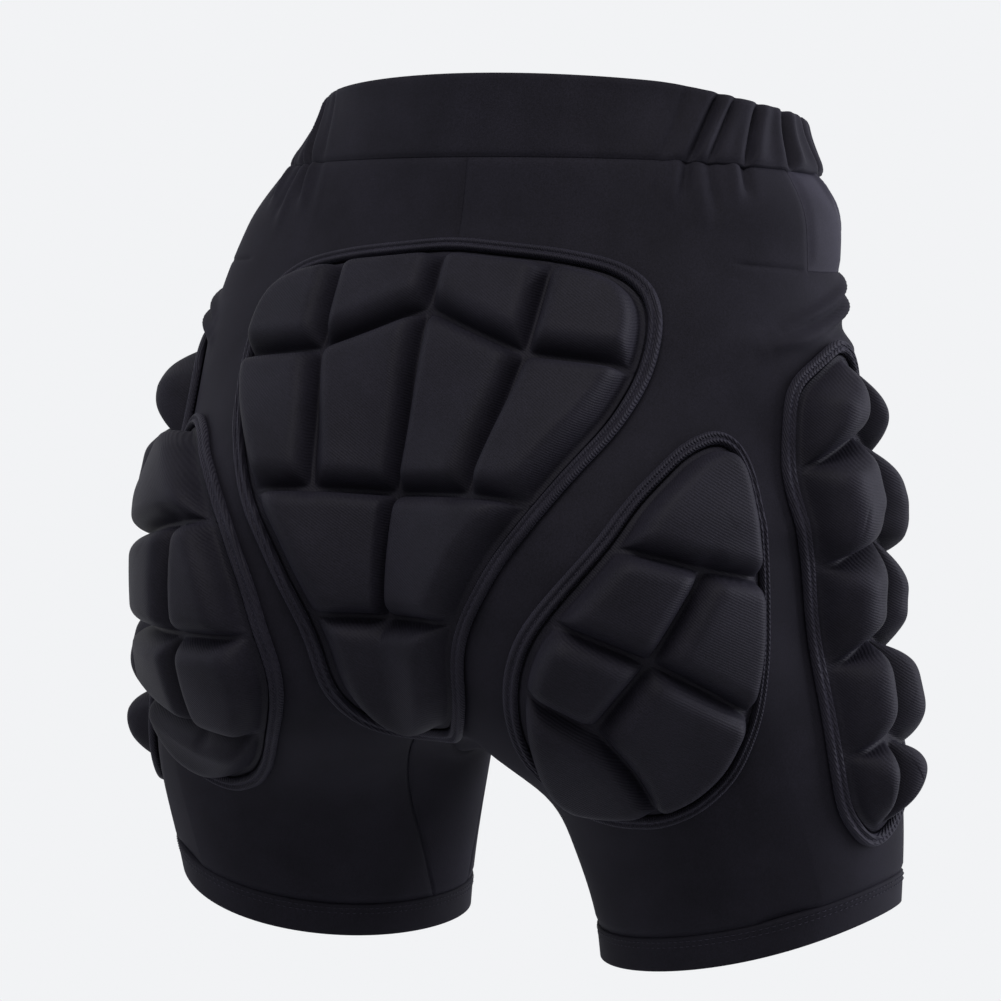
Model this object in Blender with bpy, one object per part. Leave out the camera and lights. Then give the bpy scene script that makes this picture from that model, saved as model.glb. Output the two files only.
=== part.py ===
# Padded impact shorts: a close-fitting knit short with raised foam pads on the tailbone,
# the rear thighs and the hips.  Metres, +Z up.  The front of the wearer faces -Y, the
# wearer's left is +X.  The origin is the centre of the waist opening at the rear rim level.

import math

import bmesh
import bpy
import numpy as np

# ---------------------------------------------------------------- driving dimensions
HEIGHT = 0.430                 # lowest hem edge up to the rear rim
BAND_HEIGHT = 0.040            # waistband, rear
BAND_DIP = 0.012               # how far the rim drops from rear to front
YOKE_LEVEL = -0.088            # seam under the yokes
LEG_LEVEL = -0.295             # seam between the seat and the legs
HEM_BAND = 0.016               # turned-up hem
HEM_RISE = 0.030               # outer side of the hem above its lowest point
HEM_TILT = 0.005               # front of the hem above the rear
HEM_ARCH = 0.006               # inner and outer side above front and rear

CLOTH = 0.0018                 # knit thickness
BAND_CLOTH = 0.0030            # doubled waistband
HEM_CLOTH = 0.0032             # doubled hem
SEAM = 0.0004                  # half the gap left at each seam

# Body levels from the rim down: waist, high hip, hip, seat, crotch.
LEVELS = [-HEIGHT + step for step in (0.120, 0.200, 0.280, 0.360, 0.430)]
HALF_WIDTH = [0.099, 0.151, 0.170, 0.160, 0.118]
HALF_DEPTH = [0.062, 0.097, 0.103, 0.087, 0.096]
CENTRE_Y = [0.035, 0.034, 0.034, 0.015, 0.000]

# Leg levels: hem, crotch, hip.
LEG_LEVELS = [-HEIGHT + step for step in (0.000, 0.100, 0.200)]
LEG_X = [0.118, 0.110, 0.088]
LEG_Y = [-0.004, 0.020, 0.034]
LEG_HALF_WIDTH = [0.072, 0.086, 0.086]
LEG_HALF_DEPTH = [0.080, 0.089, 0.098]

SEAT_RADIUS = 0.075            # rounding of each buttock
SEAT_CENTRE = (0.065, 0.097, -HEIGHT + 0.183)
BLEND = 0.040                  # soft joining of the volumes
CROTCH_LEVEL = -0.304          # where the body volume starts to close between the legs
CROTCH_SLOPE = 2.5             # how fast it closes

FRONT_EDGE = -50.0             # plan angle where the front panel meets the side
YOKE_EDGE = 9.0               # plan angle where the side yoke meets the rear yoke
GUSSET_HALF = 0.022
INNER_HALF_ANGLE = 15.0        # inner thigh panel at the hem, seen from the leg centre

# Stack of a pad, measured outward from the knit.
PAD_GAP = 0.0024
BACKING = 0.0012
LAYER_GAP = 0.0005
FOAM_FLOOR = 0.0030            # foam left under the grooves
COVER = 0.0010
BINDING_WIDTH = 0.0065
BINDING_HEIGHT = 0.0035
BINDING_GAP = 0.0007
FACET = 0.026                  # longest facet allowed on a pad
SHOULDERS = ((0.0035, 0.70), (0.0065, 1.0))   # width and height share of each step of a dome

TAIL_FOAM = 0.0100
THIGH_FOAM = 0.0095
HIP_FOAM = 0.0155

THIGH_AXIS = (0.085, 0.048)    # plan centre the thigh pad is wrapped about
THIGH_RADIUS = 0.105
HIP_AXIS = (0.110, 0.028)      # plan centre the hip pad is wrapped about
HIP_RADIUS = 0.068


# ---------------------------------------------------------------- scene set-up
def empty_scene():
    for item in list(bpy.data.objects):
        bpy.data.objects.remove(item, do_unlink=True)
    for group in list(bpy.data.collections):
        bpy.data.collections.remove(group)


def new_collection(name):
    group = bpy.data.collections.new(name)
    bpy.context.scene.collection.children.link(group)
    return group


def new_material(name, colour, roughness):
    material = bpy.data.materials.new(name)
    material.use_nodes = True
    shader = material.node_tree.nodes["Principled BSDF"]
    shader.inputs["Base Color"].default_value = (*colour, 1.0)
    shader.inputs["Roughness"].default_value = roughness
    return material


# ---------------------------------------------------------------- body surface
def along(levels, values, z):
    """Smooth curve through the values, held flat beyond both ends."""
    levels = np.asarray(levels, float)
    values = np.asarray(values, float)
    slopes = np.gradient(values, levels)
    slopes[0] = 0.0
    slopes[-1] = 0.0
    z = np.clip(z, levels[0], levels[-1])
    i = np.clip(np.searchsorted(levels, z) - 1, 0, len(levels) - 2)
    width = levels[i + 1] - levels[i]
    t = (z - levels[i]) / width
    rise = 3 * t**2 - 2 * t**3
    start = t**3 - 2 * t**2 + t
    finish = t**3 - t**2
    return (values[i] * (1 - rise) + values[i + 1] * rise
            + width * (slopes[i] * start + slopes[i + 1] * finish))


def soft_min(a, b):
    h = np.maximum(BLEND - np.abs(a - b), 0.0) / BLEND
    return np.minimum(a, b) - h * h * BLEND * 0.25


def body(points):
    """Signed distance-like value: negative inside the worn shape."""
    x, y, z = points[:, 0], points[:, 1], points[:, 2]
    a = along(LEVELS, HALF_WIDTH, z)
    b = along(LEVELS, HALF_DEPTH, z)
    q = np.sqrt((x / a)**2 + ((y - along(LEVELS, CENTRE_Y, z)) / b)**2)
    below = np.maximum(CROTCH_LEVEL - z, 0.0)
    value = (q - 1) * np.minimum(a, b) + CROTCH_SLOPE * below
    for side in (1, -1):
        value = soft_min(value, leg_volume(x * side, y, z))
    for side in (1, -1):
        value = soft_min(value, seat_volume(x * side, y, z))
    return value


def leg_volume(x, y, z):
    a = along(LEG_LEVELS, LEG_HALF_WIDTH, z)
    b = along(LEG_LEVELS, LEG_HALF_DEPTH, z)
    dx = (x - along(LEG_LEVELS, LEG_X, z)) / a
    dy = (y - along(LEG_LEVELS, LEG_Y, z)) / b
    over = np.maximum(z - LEG_LEVELS[-1] - 0.02, 0.0)
    return (np.sqrt(dx**2 + dy**2) - 1) * np.minimum(a, b) + 0.6 * over


def seat_volume(x, y, z):
    cx, cy, cz = SEAT_CENTRE
    return np.sqrt((x - cx)**2 + (y - cy)**2 + ((z - cz) / 1.15)**2) - SEAT_RADIUS


def outward_hits(starts, directions):
    """Where rays from inside the body first leave it."""
    stride = 0.004
    reach = np.zeros(len(starts))
    going = np.ones(len(starts), bool)
    for step in range(50):
        trial = starts + directions * (reach + stride)[:, None]
        going &= body(trial) < 0
        reach = np.where(going, reach + stride, reach)
    low, high = reach, reach + stride
    for step in range(14):
        middle = (low + high) / 2
        inside = body(starts + directions * middle[:, None]) < 0
        low = np.where(inside, middle, low)
        high = np.where(inside, high, middle)
    return starts + directions * low[:, None]


def normals(points):
    step = 0.002
    result = np.zeros_like(points)
    for axis in range(3):
        shift = np.zeros(3)
        shift[axis] = step
        result[:, axis] = body(points + shift) - body(points - shift)
    return result / np.linalg.norm(result, axis=1)[:, None]


def flip(points, side):
    return points * np.array([side, 1.0, 1.0])


# ---------------------------------------------------------------- knit panels
def plan_hits(angles, levels):
    """Body points at plan angles about the body centre; 0 is the side, 90 the rear."""
    angles = np.radians(np.asarray(angles, float))
    levels = np.asarray(levels, float)
    starts = np.stack([levels * 0, along(LEVELS, CENTRE_Y, levels), levels], axis=1)
    directions = np.stack([np.cos(angles), np.sin(angles), angles * 0], axis=1)
    return outward_hits(starts, directions)


def spread(first, last, count):
    return [first + (last - first) * i / count for i in range(count + 1)]


def torso_grid(angles, levels):
    rows = [plan_hits(angles, [level] * len(angles)) for level in levels]
    return np.array(rows)


def rim_level(angle):
    return -BAND_DIP * (1 - math.sin(math.radians(angle))) / 2


def band_grid(angles, bottom, top_drop):
    tops = [rim_level(angle) - top_drop for angle in angles]
    rows = []
    for share in (0.0, 0.5, 1.0):
        levels = [bottom + (top - bottom) * share for top in tops]
        rows.append(plan_hits(angles, levels))
    return np.array(rows)


def trim(grid, gap):
    """Pulls the border of a grid of points inward by the seam gap."""
    grid = grid.copy()
    for first, second in ((0, 1), (-1, -2)):
        edge = grid[second] - grid[first]
        grid[first] += edge * (gap / np.linalg.norm(edge, axis=1))[:, None]
    for first, second in ((0, 1), (-1, -2)):
        edge = grid[:, second] - grid[:, first]
        grid[:, first] += edge * (gap / np.linalg.norm(edge, axis=1))[:, None]
    return grid


def trim_rows(grid, gap):
    grid = grid.copy()
    for first, second in ((0, 1), (-1, -2)):
        edge = grid[second] - grid[first]
        grid[first] += edge * (gap / np.linalg.norm(edge, axis=1))[:, None]
    return grid


def shell_object(name, grid, inner, outer, closed=False):
    """Closed shell between two offsets of a grid of body points."""
    rows, columns = grid.shape[:2]
    flat = grid.reshape(-1, 3)
    direction = normals(flat)
    mesh = bmesh.new()
    layers = []
    for offset in (outer, inner):
        layers.append([mesh.verts.new(point) for point in flat + direction * offset])
    wrap = columns if closed else columns - 1
    for i in range(rows - 1):
        for j in range(wrap):
            k = (j + 1) % columns
            corners = [i * columns + j, i * columns + k,
                       (i + 1) * columns + k, (i + 1) * columns + j]
            mesh.faces.new([layers[0][c] for c in corners])
            mesh.faces.new([layers[1][c] for c in reversed(corners)])
    close_border(mesh, layers)
    return finish_object(name, mesh)


def close_border(mesh, layers):
    """Joins the two layers along their open edges."""
    twin = dict(zip(layers[0], layers[1]))
    border = [edge for edge in mesh.edges if edge.is_boundary and edge.verts[0] in twin]
    for edge in border:
        loop = edge.link_loops[0]
        a = loop.vert
        b = loop.link_loop_next.vert
        mesh.faces.new([b, a, twin[a], twin[b]])


def finish_object(name, mesh):
    bmesh.ops.triangulate(mesh, faces=[f for f in mesh.faces if len(f.verts) > 3])
    bmesh.ops.recalc_face_normals(mesh, faces=mesh.faces)
    data = bpy.data.meshes.new(name)
    mesh.to_mesh(data)
    mesh.free()
    item = bpy.data.objects.new(name, data)
    COLLECTION.objects.link(item)
    colour, roughness = FINISHES[finish_key(name)]
    item.data.materials.append(new_material("mat_" + name, colour, roughness))
    return item


FINISHES = {
    "cover": ((0.030, 0.029, 0.040), 0.80),
    "foam": ((0.050, 0.050, 0.055), 0.90),
    "binding": ((0.045, 0.044, 0.058), 0.70),
    "backing": ((0.020, 0.020, 0.024), 0.90),
    "elastic": ((0.030, 0.030, 0.034), 0.75),
    "knit": ((0.024, 0.023, 0.032), 0.85),
}


def finish_key(name):
    for key in ("cover", "foam", "binding", "backing", "elastic"):
        if key in name:
            return key
    return "knit"


# ---------------------------------------------------------------- columns and rings
FRONT_ANGLES = spread(-90.0, FRONT_EDGE, 4)
SIDE_ANGLES = spread(FRONT_EDGE, YOKE_EDGE, 6)
REAR_ANGLES = spread(YOKE_EDGE, 90.0, 6)
RING_ANGLES = FRONT_ANGLES + SIDE_ANGLES[1:] + REAR_ANGLES[1:]
CROTCH_STEPS = 8
LEG_ROWS = 5


def crotch_point(share, half_width):
    """A point of the crotch line: share 0 at the rear end, 1 at the front end."""
    turn = math.pi * share
    x = half_width * math.sin(turn)
    start = np.array([[x, CENTRE_Y[0], LEG_LEVEL]])
    direction = np.array([[0.0, math.cos(turn), -math.sin(turn)]])
    return outward_hits(start, direction)[0]


def leg_top_ring():
    torso = plan_hits(RING_ANGLES, [LEG_LEVEL] * len(RING_ANGLES))
    shares = [i / CROTCH_STEPS for i in range(1, CROTCH_STEPS)]
    crotch = [crotch_point(share, GUSSET_HALF) for share in shares]
    return np.concatenate([torso, np.array(crotch)])


def hem_angles():
    outer = spread(-180.0 + INNER_HALF_ANGLE, 180.0 - INNER_HALF_ANGLE, len(RING_ANGLES) - 1)
    inner = spread(180.0 - INNER_HALF_ANGLE, 180.0 + INNER_HALF_ANGLE, CROTCH_STEPS)
    return np.array(outer + inner[1:-1])


def hem_levels(angles):
    turn = np.radians(angles)
    rise = HEM_RISE * (np.cos(turn) + 1) / 2
    arch = HEM_ARCH * (np.cos(2 * turn) + 1) / 2
    return -HEIGHT + rise + arch - HEM_TILT * np.sin(turn)


def leg_ring(share, lift):
    """Ring between the leg seam (share 0) and the hem (share 1)."""
    top = leg_top_ring()
    low = hem_angles()
    levels = top[:, 2] * (1 - share) + (hem_levels(low) + lift) * share
    at_top = leg_plan_angles(top)
    angles = np.radians(at_top * (1 - share) + low * share)
    starts = np.stack([along(LEG_LEVELS, LEG_X, levels),
                       along(LEG_LEVELS, LEG_Y, levels), levels], axis=1)
    directions = np.stack([np.cos(angles), np.sin(angles), angles * 0], axis=1)
    return outward_hits(starts, directions)


def leg_plan_angles(ring):
    x = ring[:, 0] - along(LEG_LEVELS, LEG_X, ring[:, 2])
    y = ring[:, 1] - along(LEG_LEVELS, LEG_Y, ring[:, 2])
    angles = np.degrees(np.arctan2(y, x))
    crotch = np.arange(len(ring)) >= len(RING_ANGLES)
    return np.where(crotch & (angles < 0), angles + 360.0, angles)


def leg_grid():
    rows = [leg_top_ring()]
    rows += [leg_ring(i / LEG_ROWS, HEM_BAND) for i in range(1, LEG_ROWS + 1)]
    return np.array(rows)


# ---------------------------------------------------------------- garment panels
def build_waistband():
    rear = spread(YOKE_EDGE, 180.0 - YOKE_EDGE, 12)
    front = spread(-180.0 - FRONT_EDGE, FRONT_EDGE, 8)
    sides = SIDE_ANGLES
    for name, angles in (("waistband_rear", rear), ("waistband_front", front)):
        grid = trim(band_grid(angles, -BAND_HEIGHT, 0.0), SEAM)
        shell_object(name, grid, -BAND_CLOTH, 0.0)
    for side, word in ((1, "left"), (-1, "right")):
        grid = trim(flip(band_grid(sides, -BAND_HEIGHT, 0.0), side), SEAM)
        shell_object("waistband_side_" + word, grid, -BAND_CLOTH, 0.0)
        strip = band_grid(sides, -BAND_HEIGHT + 0.005, 0.005)
        strip = trim(flip(strip, side), 0.004)
        shell_object("side_elastic_" + word, strip, -BAND_CLOTH - 0.0028, -BAND_CLOTH - 0.0012)


def build_torso(side, word):
    yoke_levels = spread(-BAND_HEIGHT, YOKE_LEVEL, 2)
    seat_levels = spread(YOKE_LEVEL, LEG_LEVEL, 8)
    front_levels = spread(-BAND_HEIGHT, LEG_LEVEL, 10)
    panels = (
        ("rear_yoke_", REAR_ANGLES, yoke_levels),
        ("side_yoke_", SIDE_ANGLES, yoke_levels),
        ("seat_panel_", SIDE_ANGLES + REAR_ANGLES[1:], seat_levels),
        ("front_panel_", FRONT_ANGLES, front_levels),
    )
    for name, angles, levels in panels:
        grid = trim(flip(torso_grid(angles, levels), side), SEAM)
        shell_object(name + word, grid, -CLOTH, 0.0)


def build_gusset():
    rows = []
    for share in spread(0.06, 0.94, CROTCH_STEPS):
        half = GUSSET_HALF * math.sin(math.pi * share)
        edge = crotch_point(share, GUSSET_HALF)
        middle = crotch_point(share, 0.0)
        edge[0] = half
        rows.append([flip(edge, -1), middle, edge])
    shell_object("crotch_gusset", trim(np.array(rows), SEAM * 1.5), -CLOTH, 0.0)


def build_leg(side, word):
    grid = leg_grid()
    outer_columns = len(RING_ANGLES)
    outer = grid[:, :outer_columns]
    wrap = list(range(outer_columns - 1, grid.shape[1])) + [0]
    inner = grid[:, wrap]
    shell_object("leg_panel_" + word, trim(flip(outer, side), SEAM), -CLOTH, 0.0)
    shell_object("inner_thigh_panel_" + word, trim(flip(inner, side), SEAM), -CLOTH, 0.0)
    hem = np.array([leg_ring(1.0, HEM_BAND - SEAM), leg_ring(1.0, 0.0)])
    hem = trim_rows(flip(hem, side), SEAM)
    shell_object("hem_" + word, hem, -HEM_CLOTH, 0.0002, closed=True)


# ---------------------------------------------------------------- pad charts
def tail_chart(flat):
    """Seen from behind: across and up."""
    starts = np.stack([flat[:, 0], flat[:, 0] * 0 + 0.085, flat[:, 1]], axis=1)
    directions = np.zeros_like(starts)
    directions[:, 1] = 1.0
    return outward_hits(starts, directions)


def wrapped_chart(axis, radius, flat):
    """Wrapped about a vertical axis: arc length (0 faces outward) and up."""
    turn = flat[:, 0] / radius
    starts = np.stack([turn * 0 + axis[0], turn * 0 + axis[1], flat[:, 1]], axis=1)
    directions = np.stack([np.cos(turn), np.sin(turn), turn * 0], axis=1)
    return outward_hits(starts, directions)


def thigh_chart(flat):
    return wrapped_chart(THIGH_AXIS, THIGH_RADIUS, flat)


def hip_chart(flat):
    return wrapped_chart(HIP_AXIS, HIP_RADIUS, flat)


def mirrored(points):
    """Adds the left-hand copies of a line of right-hand points, top to bottom."""
    return points + [(-u, v) for u, v in reversed(points) if u > 0]


# ---------------------------------------------------------------- pad layouts (millimetres)
# Heights are above the lowest hem, sideways values as each chart gives them.
def tail_layout(side):
    """Half of the shield is laid out and mirrored."""
    top = {"a": (0, 344), "b": (53, 339), "c": (80, 334), "d": (95, 325), "e": (101, 311),
           "f": (101, 288), "g": (94, 264), "h": (72, 227), "i": (56, 204),
           "j": (39, 174), "k": (34, 159), "l": (32, 138), "m": (22, 123), "n": (0, 120),
           "p": (0, 313), "q": (52, 293), "r": (42, 229), "s": (0, 229), "t": (0, 175)}
    half = ["abqp", "bcdefq", "pqrs", "qfghr", "srhijt"]
    cells = []
    for mirror in (1, -1):
        for word in half:
            cells.append([(top[k][0] * mirror, top[k][1]) for k in word])
    tail = [top[k] for k in "tjklmn"]
    tail += [(-u, v) for u, v in reversed(tail) if u > 0]
    return cells + [tail]


def thigh_layout(side):
    """Teardrop: arc from the side toward the rear, given as plan angles."""
    words, p = thigh_left() if side > 0 else thigh_right()
    arc = math.radians(THIGH_RADIUS * 1000)
    return [[(p[k][0] * arc, p[k][1]) for k in word] for word in words]


def thigh_right():
    words = ["abcdevstu", "vwrs", "efgwv", "wxoqr", "ghijxw", "jklmnox"]
    places = {"a": (50, 258), "b": (44.5, 255.5), "c": (41, 246), "d": (40, 222),
              "e": (38.5, 197), "f": (37, 165), "g": (38, 135), "h": (42.5, 109),
              "i": (51, 94.5), "j": (62.5, 87.5), "k": (80, 87), "l": (96, 90.5),
              "m": (102, 103), "n": (100, 127), "o": (97.7, 148), "q": (94.3, 166),
              "r": (90.5, 178), "s": (78.6, 210), "t": (72, 231), "u": (61, 250.5),
              "v": (57.5, 201.4), "w": (69.8, 161.4), "x": (82.6, 131.8)}
    return words, places


def thigh_left():
    """The left pad is divided by nearly level grooves instead of slanting ones."""
    words = ["abcdevstu", "efwv", "vwqrs", "fgxw", "wxmnoq", "ghijklmx"]
    places = {"a": (50, 258), "b": (43.5, 255.5), "c": (39.5, 246), "d": (38.5, 222),
              "e": (37, 200), "f": (36, 160), "g": (37, 128), "h": (41.5, 105),
              "i": (51, 90), "j": (64, 86), "k": (80, 92), "l": (91, 103),
              "m": (97, 115), "n": (101, 130), "o": (101.5, 145), "q": (98.8, 162),
              "r": (95.5, 185), "s": (88, 214), "t": (80, 231), "u": (64, 250),
              "v": (77.5, 211), "w": (78, 161), "x": (76.5, 119)}
    return words, places


def hip_layout(side):
    """Two columns of five chevron cells about a slightly leaning centre line."""
    centre = [(12, 304), (10, 264), (5, 219), (3, 169), (5, 122), (7, 74)]
    edge_levels = [283, 245, 201, 154, 113, 91]
    rear_half = [29, 34, 31, 27, 20, 14]
    front_half = [19, 25, 27, 24, 21, 15]
    arc = math.radians(HIP_RADIUS * 1000)
    inner = [(a * arc, z) for a, z in centre]
    cells = []
    for turn, half_angles in ((1, rear_half), (-1, front_half)):
        outer = [((centre[i][0] + turn * half_angles[i]) * arc, edge_levels[i])
                 for i in range(6)]
        for i in range(5):
            cells.append([inner[i], outer[i], outer[i + 1], inner[i + 1]])
    return cells


def to_metres(cells):
    return [[(u / 1000.0, v / 1000.0 - HEIGHT) for u, v in cell] for cell in cells]


# ---------------------------------------------------------------- pad building
def cell_outline(cells):
    """Border polygon of a set of cells that share corners."""
    follows = {}
    inner = set()
    for cell in cells:
        for a, b in zip(cell, cell[1:] + cell[:1]):
            inner.add((b, a))
            follows[(a, b)] = True
    border = {a: b for a, b in follows if (a, b) not in inner}
    start = min(border)
    loop = [start]
    while border[loop[-1]] != start:
        loop.append(border[loop[-1]])
    return loop


def turned_left(cell):
    """The cell with its corners anticlockwise."""
    area = sum(a[0] * b[1] - b[0] * a[1] for a, b in zip(cell, cell[1:] + cell[:1]))
    return cell if area > 0 else list(reversed(cell))


def grown(loop, distance):
    """The anticlockwise loop moved outward by a distance."""
    result = []
    for before, point, after in zip(loop[-1:] + loop[:-1], loop, loop[1:] + loop[:1]):
        first = edge_normal(before, point)
        second = edge_normal(point, after)
        bisector = first + second
        scale = distance / max(0.35, float(bisector @ first))
        result.append(tuple(np.array(point) + bisector * scale))
    return result


def edge_normal(a, b):
    along_edge = np.array(b) - np.array(a)
    normal = np.array([along_edge[1], -along_edge[0]])
    return normal / np.linalg.norm(normal)


def cut_facets(mesh):
    """Cuts the flat sheet at fixed lines so that it can bend smoothly."""
    for axis in (0, 1):
        values = [vertex.co[axis] for vertex in mesh.verts]
        first = math.ceil(min(values) / FACET)
        last = math.floor(max(values) / FACET)
        for line in range(first, last + 1):
            place = [0.0, 0.0, 0.0]
            place[axis] = line * FACET
            direction = [0.0, 0.0, 0.0]
            direction[axis] = 1.0
            geometry = mesh.verts[:] + mesh.edges[:] + mesh.faces[:]
            bmesh.ops.bisect_plane(mesh, geom=geometry, dist=0.0008,
                                   plane_co=place, plane_no=direction)
    bmesh.ops.triangulate(mesh, faces=mesh.faces[:])


def cell_sheet(cells, floor, crown):
    """Flat sheet of raised cells; the third coordinate is the height above the knit."""
    mesh = bmesh.new()
    shared = {}
    for cell in cells:
        for point in cell:
            if point not in shared:
                shared[point] = mesh.verts.new((*point, floor))
        mesh.faces.new([shared[point] for point in cell])
    tops = list(mesh.faces)
    for width, share in SHOULDERS:
        mesh.normal_update()
        bmesh.ops.inset_individual(mesh, faces=tops, thickness=width, use_even_offset=True)
        for face in tops:
            for vertex in face.verts:
                vertex.co.z = floor + (crown - floor) * share
    cut_facets(mesh)
    return mesh


def plain_sheet(loop, height):
    mesh = bmesh.new()
    mesh.faces.new([mesh.verts.new((*point, height)) for point in loop])
    cut_facets(mesh)
    return mesh


def ring_sheet(inner, outer, height):
    mesh = bmesh.new()
    near = [mesh.verts.new((*point, height)) for point in inner]
    far = [mesh.verts.new((*point, height)) for point in outer]
    count = len(near)
    for i in range(count):
        k = (i + 1) % count
        mesh.faces.new([near[i], far[i], far[k], near[k]])
    cut_facets(mesh)
    return mesh


def sheet_arrays(mesh):
    mesh.verts.ensure_lookup_table()
    mesh.verts.index_update()
    points = np.array([vertex.co[:] for vertex in mesh.verts])
    faces = [[vertex.index for vertex in face.verts] for face in mesh.faces]
    mesh.free()
    return points, faces


def border_edges(faces):
    edges = {}
    for face in faces:
        for a, b in zip(face, face[1:] + face[:1]):
            edges[(a, b)] = True
    return [(a, b) for a, b in edges if (b, a) not in edges]


def stacked_object(name, chart, side, upper, lower):
    """Closed solid between two flat sheets that share the same border corners."""
    mesh = bmesh.new()
    corners = {}
    for kind, (points, faces) in (("upper", upper), ("lower", lower)):
        ground = chart(points[:, :2])
        place = flip(ground + normals(ground) * points[:, 2:3], side)
        made = [mesh.verts.new(point) for point in place]
        for face in faces:
            order = face if kind == "upper" else list(reversed(face))
            mesh.faces.new([made[i] for i in order])
        corners[kind] = (points, made)
    join_borders(mesh, corners, upper[1])
    return finish_object(name, mesh)


def join_borders(mesh, corners, upper_faces):
    points, made = corners["upper"]
    low_points, low_made = corners["lower"]
    for a, b in border_edges(upper_faces):
        c = nearest_flat(low_points, points[a])
        d = nearest_flat(low_points, points[b])
        mesh.faces.new([made[b], made[a], low_made[c], low_made[d]])


def nearest_flat(points, target):
    return int(np.argmin(np.sum((points[:, :2] - target[:2])**2, axis=1)))


def at_height(sheet, height):
    points, faces = sheet
    moved = points.copy()
    moved[:, 2] = height
    return moved, faces


def raised_by(sheet, rise):
    points, faces = sheet
    moved = points.copy()
    moved[:, 2] += rise
    return moved, faces


def build_pad(name, cells, chart, side, foam):
    cells = [turned_left(cell) for cell in to_metres(cells)]
    loop = cell_outline(cells)
    bottom = PAD_GAP + BACKING + LAYER_GAP
    floor = bottom + FOAM_FLOOR
    plain = sheet_arrays(plain_sheet(loop, 0.0))
    domes = sheet_arrays(cell_sheet(cells, floor, floor + foam))
    word = "_left" if side > 0 else "_right"
    word = "" if name == "tailbone_pad" else word
    stacked_object(name + "_backing" + word, chart, side,
                   at_height(plain, PAD_GAP + BACKING), at_height(plain, PAD_GAP))
    stacked_object(name + "_foam" + word, chart, side, domes, at_height(plain, bottom))
    stacked_object(name + "_cover" + word, chart, side,
                   raised_by(domes, LAYER_GAP * 2 + COVER), raised_by(domes, LAYER_GAP * 2))
    ring = sheet_arrays(ring_sheet(grown(loop, BINDING_GAP),
                                   grown(loop, BINDING_GAP + BINDING_WIDTH), 0.0))
    stacked_object(name + "_binding" + word, chart, side,
                   at_height(ring, PAD_GAP + BINDING_HEIGHT), at_height(ring, PAD_GAP))


# ---------------------------------------------------------------- build
empty_scene()
COLLECTION = new_collection("padded_impact_shorts")
build_waistband()
for hand, hand_word in ((1, "left"), (-1, "right")):
    build_torso(hand, hand_word)
    build_leg(hand, hand_word)
    build_pad("thigh_pad", thigh_layout(hand), thigh_chart, hand, THIGH_FOAM)
    build_pad("hip_pad", hip_layout(hand), hip_chart, hand, HIP_FOAM)
build_gusset()
build_pad("tailbone_pad", tail_layout(1), tail_chart, 1, TAIL_FOAM)
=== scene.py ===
import math

import bmesh
import bpy
import numpy as np
from mathutils import Matrix, Vector
from mathutils.kdtree import KDTree


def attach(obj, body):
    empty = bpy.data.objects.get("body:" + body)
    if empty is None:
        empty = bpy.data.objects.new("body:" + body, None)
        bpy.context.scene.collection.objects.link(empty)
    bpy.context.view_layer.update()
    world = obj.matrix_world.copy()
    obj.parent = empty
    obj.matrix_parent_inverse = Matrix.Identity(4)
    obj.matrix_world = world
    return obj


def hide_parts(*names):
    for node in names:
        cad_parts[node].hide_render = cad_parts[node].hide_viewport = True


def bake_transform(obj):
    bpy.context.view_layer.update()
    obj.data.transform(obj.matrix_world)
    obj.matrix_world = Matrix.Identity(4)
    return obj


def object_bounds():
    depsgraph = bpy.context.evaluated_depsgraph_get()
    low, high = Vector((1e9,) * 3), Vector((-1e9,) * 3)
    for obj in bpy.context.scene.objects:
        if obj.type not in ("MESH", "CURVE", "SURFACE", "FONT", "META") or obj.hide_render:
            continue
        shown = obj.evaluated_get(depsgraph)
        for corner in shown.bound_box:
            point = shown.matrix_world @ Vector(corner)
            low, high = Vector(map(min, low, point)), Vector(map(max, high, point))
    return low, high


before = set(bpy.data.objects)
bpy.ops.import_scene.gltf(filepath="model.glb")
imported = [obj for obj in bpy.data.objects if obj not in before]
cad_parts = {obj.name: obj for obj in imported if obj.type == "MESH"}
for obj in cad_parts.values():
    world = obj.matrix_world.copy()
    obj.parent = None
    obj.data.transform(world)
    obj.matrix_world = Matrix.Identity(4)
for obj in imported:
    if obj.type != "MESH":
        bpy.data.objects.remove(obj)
CAD_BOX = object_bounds()

# ---- dimensions
# The worn shape follows the same driving dimensions as the frame's solids, in metres.
HEIGHT = 0.430
BAND_HEIGHT = 0.040
BAND_DIP = 0.012
YOKE_LEVEL = -0.088
LEG_LEVEL = -0.295
HEM_BAND = 0.016
HEM_RISE = 0.030
HEM_TILT = 0.005
HEM_ARCH = 0.006
CLOTH = 0.0018
BAND_CLOTH = 0.0032
HEM_CLOTH = 0.0032
SEWN_GAP = 0.0001               # each panel's cut edge stops this far short of the seam line

# Torso and leg sections at a few levels; the surface runs smoothly through them.
LEVELS = [-HEIGHT + step for step in (0.120, 0.200, 0.280, 0.360, 0.430)]
HALF_WIDTH = [0.099, 0.151, 0.170, 0.160, 0.118]
HALF_DEPTH = [0.062, 0.097, 0.103, 0.087, 0.096]
CENTRE_Y = [0.035, 0.034, 0.034, 0.015, 0.000]
LEG_LEVELS = [-HEIGHT + step for step in (0.000, 0.100, 0.200)]
LEG_X = [0.118, 0.110, 0.088]
LEG_Y = [-0.004, 0.020, 0.034]
LEG_HALF_WIDTH = [0.072, 0.086, 0.086]
LEG_HALF_DEPTH = [0.080, 0.089, 0.098]
SEAT_RADIUS = 0.075
SEAT_CENTRE = (0.065, 0.097, -HEIGHT + 0.183)
BLEND = 0.040
CROTCH_LEVEL = -0.304
CROTCH_SLOPE = 2.5

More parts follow.
